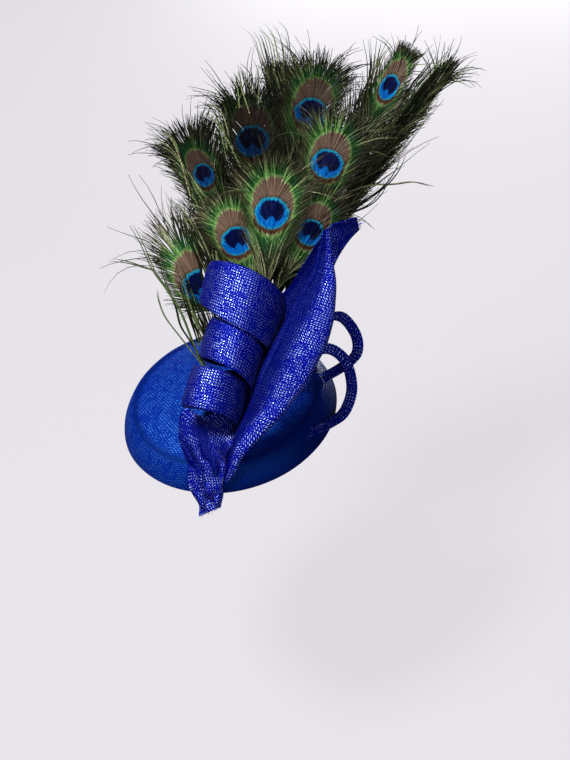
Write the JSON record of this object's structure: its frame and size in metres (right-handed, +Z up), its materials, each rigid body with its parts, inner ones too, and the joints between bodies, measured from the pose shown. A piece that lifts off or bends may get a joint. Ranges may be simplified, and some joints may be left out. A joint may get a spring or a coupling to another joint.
{
  "type": "button fascinator hat",
  "caption": "Domed sinamay fascinator hat with a curled strip, a rolled leaf, narrow arched loops and a plume of peacock eye feathers, held on by a hidden comb.",
  "frame": {"origin": "centre of the base's open rim, in the rim's plane, where the hat sits on the head", "axes": "+Z up through the crown of the base, square to the rim's plane; -Y towards the wearer's face; +X towards the wearer's left"},
  "size_m": [0.2877, 0.3772, 0.2417],
  "materials": {
    "sinamay_base": "royal blue sinamay straw cloth, stiffened, faint sheen",
    "sinamay_strip": "royal blue sinamay straw cloth cut on the bias, bright sheen on the threads",
    "peacock": "peacock feather, green and bronze barbs with a turquoise and navy eye",
    "comb_plastic": "dark moulded plastic"
  },
  "bodies": {
    "root": {"base": "sinamay_base", "curl": "sinamay_strip", "leaf": "sinamay_strip", "loop_upper": "sinamay_strip", "loop_lower": "sinamay_strip", "comb": "comb_plastic", "feather_1": "peacock", "feather_2": "peacock", "feather_3": "peacock", "feather_4": "peacock", "feather_5": "peacock", "feather_6": "peacock", "feather_7": "peacock", "feather_8": "peacock", "feather_9": "peacock", "feather_10": "peacock", "feather_11": "peacock"}
  },
  "joints": []
}
